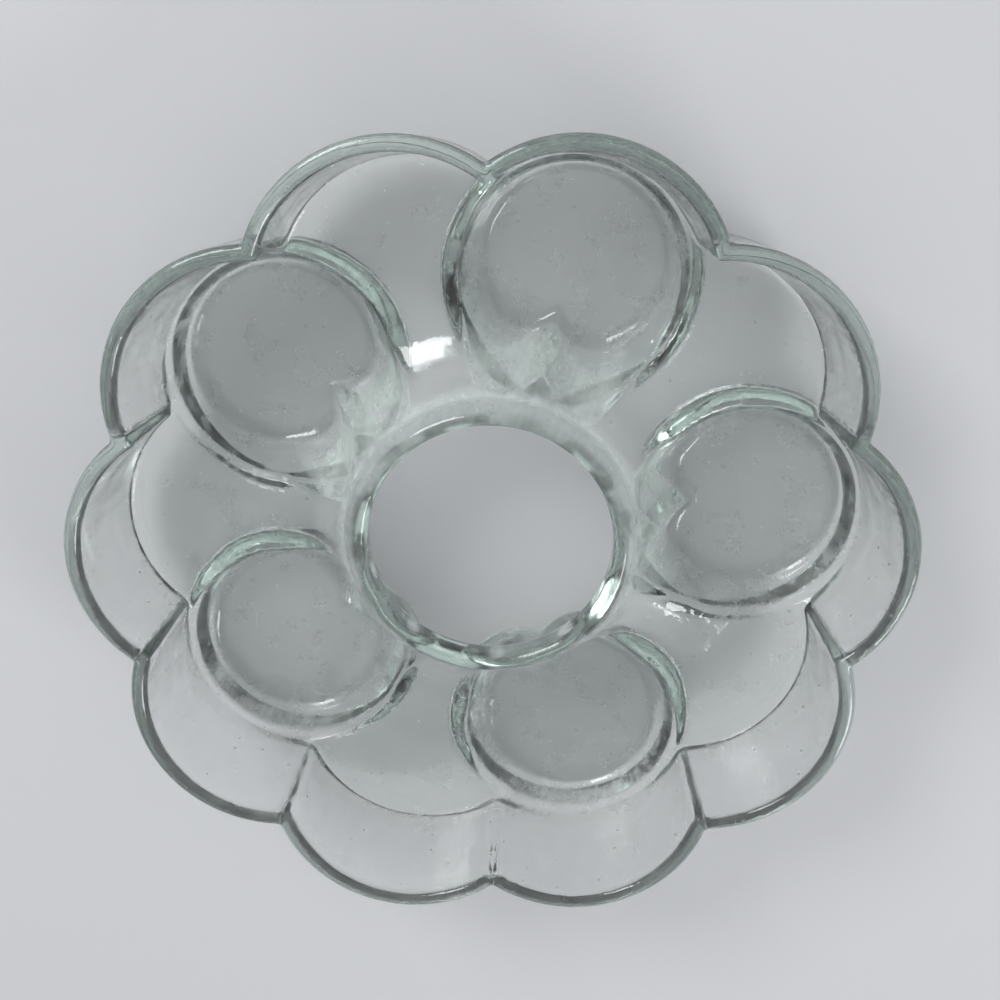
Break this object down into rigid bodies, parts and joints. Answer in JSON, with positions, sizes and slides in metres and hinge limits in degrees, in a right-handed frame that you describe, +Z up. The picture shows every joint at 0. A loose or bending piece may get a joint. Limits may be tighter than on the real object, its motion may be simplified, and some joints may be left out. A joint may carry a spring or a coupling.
{
  "type": "votive candle holder",
  "caption": "Clear pressed-glass candle ring with a petalled rim, round candle wells between flat petals, and a raised lip round an open centre.",
  "frame": {"origin": "centre of the ring, at the level of the feet's undersides", "axes": "+Z up, +X through the centre of the first well"},
  "size_m": [0.198, 0.192, 0.046],
  "materials": {
    "pressed_glass": "polished, clear, with a pale green tint"
  },
  "bodies": {
    "root": {"glass_ring": "pressed_glass"}
  },
  "joints": []
}
